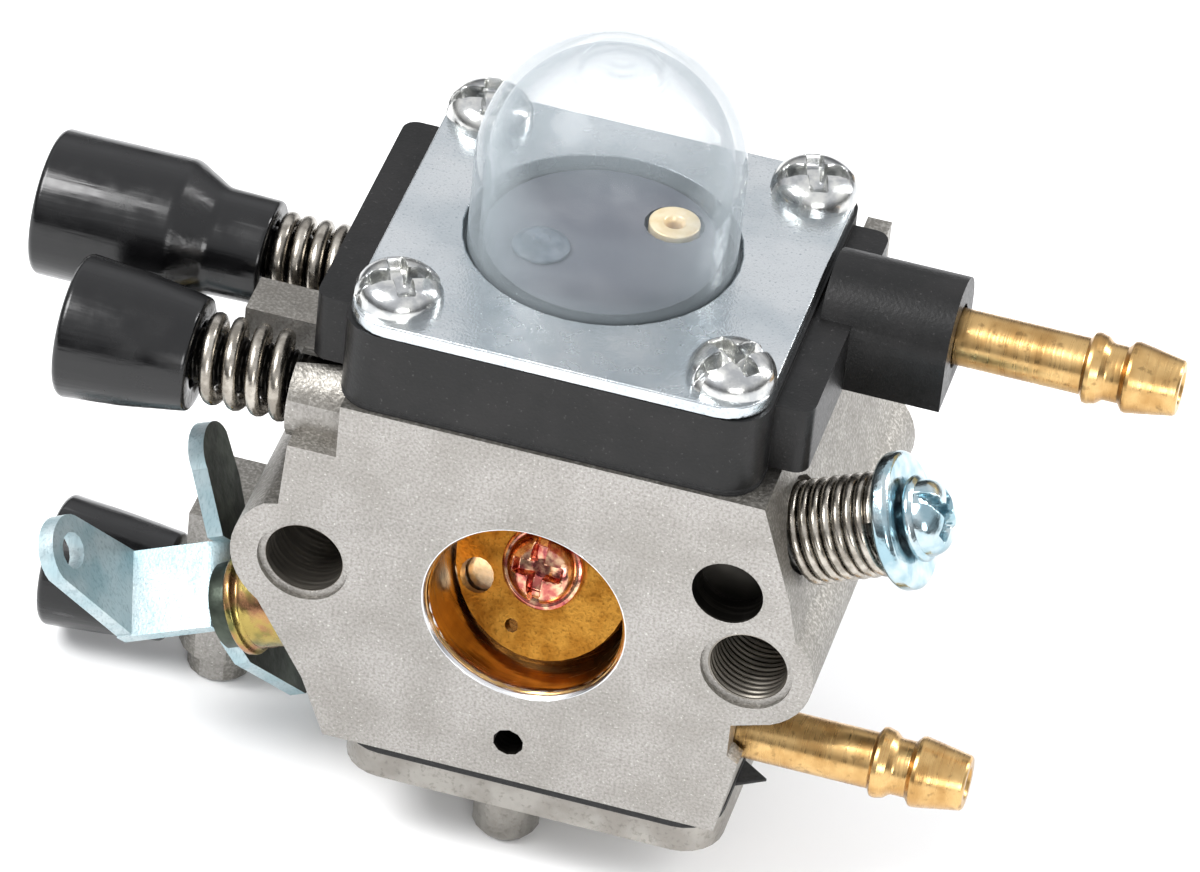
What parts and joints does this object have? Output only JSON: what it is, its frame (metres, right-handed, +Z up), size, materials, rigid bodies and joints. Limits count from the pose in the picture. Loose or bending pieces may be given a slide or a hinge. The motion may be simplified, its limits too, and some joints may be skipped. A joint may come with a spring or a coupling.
{
  "type": "diaphragm carburetor",
  "caption": "Small two-stroke diaphragm carburetor with a throttle butterfly, primer bulb, capped mixture needles, idle screw and brass hose fittings.",
  "frame": {"origin": "centre of the bore on the engine face", "axes": "+Y through the bore from the engine face to the air filter face, +Z up towards the primer bulb, +X towards the fuel fittings"},
  "size_m": [0.0788, 0.0292, 0.059],
  "materials": {
    "cast_aluminium": "bead-blasted die casting",
    "zinc_plated_steel": "bright blue zinc plating",
    "yellow_zinc_steel": "yellow zinc plating",
    "brass": "turned",
    "copper_plated_steel": "copper plated",
    "black_nylon": "moulded satin",
    "black_cap_plastic": "moulded gloss",
    "spring_steel": "drawn wire",
    "gasket_rubber": "coated sheet",
    "clear_vinyl": "clear moulded",
    "grey_rubber": "moulded"
  },
  "bodies": {
    "carburetor_body": {"body_casting": "cast_aluminium", "pump_cover": "cast_aluminium", "purge_base": "black_nylon", "metering_gasket": "gasket_rubber", "metering_diaphragm": "gasket_rubber", "pump_gasket": "gasket_rubber", "pump_diaphragm": "gasket_rubber", "metering_lever_pin": "spring_steel", "lever_pin_screw": "zinc_plated_steel", "metering_spring": "spring_steel", "main_nozzle": "brass", "cover_plate": "zinc_plated_steel", "outlet_valve_seat": "brass", "purge_check_valve": "grey_rubber", "cover_screw_1": "zinc_plated_steel", "cover_screw_2": "zinc_plated_steel", "cover_screw_3": "zinc_plated_steel", "cover_screw_4": "zinc_plated_steel", "return_fitting": "brass", "inlet_fitting": "brass", "pump_cover_screw": "zinc_plated_steel", "inlet_screen": "spring_steel", "low_speed_spring": "spring_steel", "high_speed_spring": "spring_steel", "return_spring": "spring_steel"},
    "throttle": {"throttle_shaft": "zinc_plated_steel", "throttle_plate": "brass", "throttle_plate_screw": "copper_plated_steel", "throttle_lever": "zinc_plated_steel", "shaft_collar": "yellow_zinc_steel", "spring_disc": "zinc_plated_steel", "disc_screw": "zinc_plated_steel"},
    "low_speed_screw": {"low_speed_needle": "spring_steel"},
    "low_speed_knob": {"low_speed_cap": "black_cap_plastic"},
    "high_speed_screw": {"high_speed_needle": "spring_steel"},
    "high_speed_knob": {"high_speed_cap": "black_cap_plastic"},
    "idle_adjuster": {"idle_screw": "spring_steel"},
    "idle_knob": {"idle_cap": "black_cap_plastic"},
    "bulb": {"primer_bulb": "clear_vinyl"},
    "fuel_lever": {"metering_lever": "zinc_plated_steel"},
    "fuel_valve": {"inlet_needle": "spring_steel"},
    "diaphragm_plate": {"diaphragm_button": "zinc_plated_steel"}
  },
  "joints": [
    {"name": "throttle_turn", "type": "hinge", "parent": "carburetor_body", "child": "throttle", "pos_m": [0, 0.0057, 0], "axis": [-0.9063, 0, -0.4226], "range_deg": [0, 56], "stiffness_Nm_per_rad": 0.02, "springref_deg": -22.92, "deforming": ["return_spring"]},
    {"name": "low_speed_feed", "type": "slide", "parent": "carburetor_body", "child": "low_speed_screw", "axis": [1, 0, 0], "range_m": [0, 0.0009], "deforming": ["low_speed_spring"]},
    {"name": "low_speed_turn", "type": "hinge", "parent": "low_speed_screw", "child": "low_speed_knob", "pos_m": [-0.029, 0.0048, 0.0114], "axis": [1, 0, 0], "range_deg": [0, 541]},
    {"name": "high_speed_feed", "type": "slide", "parent": "carburetor_body", "child": "high_speed_screw", "axis": [1, 0, 0], "range_m": [0, 0.0009], "deforming": ["high_speed_spring"]},
    {"name": "high_speed_turn", "type": "hinge", "parent": "high_speed_screw", "child": "high_speed_knob", "pos_m": [-0.031, 0.0173, 0.0114], "axis": [1, 0, 0], "range_deg": [0, 541]},
    {"name": "idle_feed", "type": "slide", "parent": "carburetor_body", "child": "idle_adjuster", "axis": [1, 0, 0], "range_m": [-0.001, 0.00025]},
    {"name": "idle_turn", "type": "hinge", "parent": "idle_adjuster", "child": "idle_knob", "pos_m": [-0.0315, 0.0146, -0.0174], "axis": [1, 0, 0], "range_deg": [-721, 181]},
    {"name": "bulb_press", "type": "slide", "parent": "carburetor_body", "child": "bulb", "axis": [0, 0, -1], "range_m": [0, 0.008], "stiffness_N_per_m": 400, "deforming": ["primer_bulb"]},
    {"name": "fuel_lever_tilt", "type": "hinge", "parent": "carburetor_body", "child": "fuel_lever", "pos_m": [0.0042, 0.015, 0.011], "axis": [0, -1, 0], "range_deg": [0, 5.5], "stiffness_Nm_per_rad": 0.002, "springref_deg": -11.46, "deforming": ["metering_spring"]},
    {"name": "fuel_valve_lift", "type": "slide", "parent": "carburetor_body", "child": "fuel_valve", "axis": [0, 0, 1], "range_m": [0, 0.00032]},
    {"name": "diaphragm_travel", "type": "slide", "parent": "carburetor_body", "child": "diaphragm_plate", "axis": [0, 0, -1], "range_m": [0, 0.000355]}
  ],
  "couplings": [
    {"joint": "low_speed_turn", "follows": "low_speed_feed", "rad_per_m": 10472},
    {"joint": "high_speed_turn", "follows": "high_speed_feed", "rad_per_m": 10472},
    {"joint": "idle_turn", "follows": "idle_feed", "rad_per_m": 12566},
    {"joint": "fuel_valve_lift", "follows": "diaphragm_travel", "ratio": 0.86486},
    {"joint": "fuel_lever_tilt", "follows": "diaphragm_travel", "rad_per_m": 270.27}
  ]
}
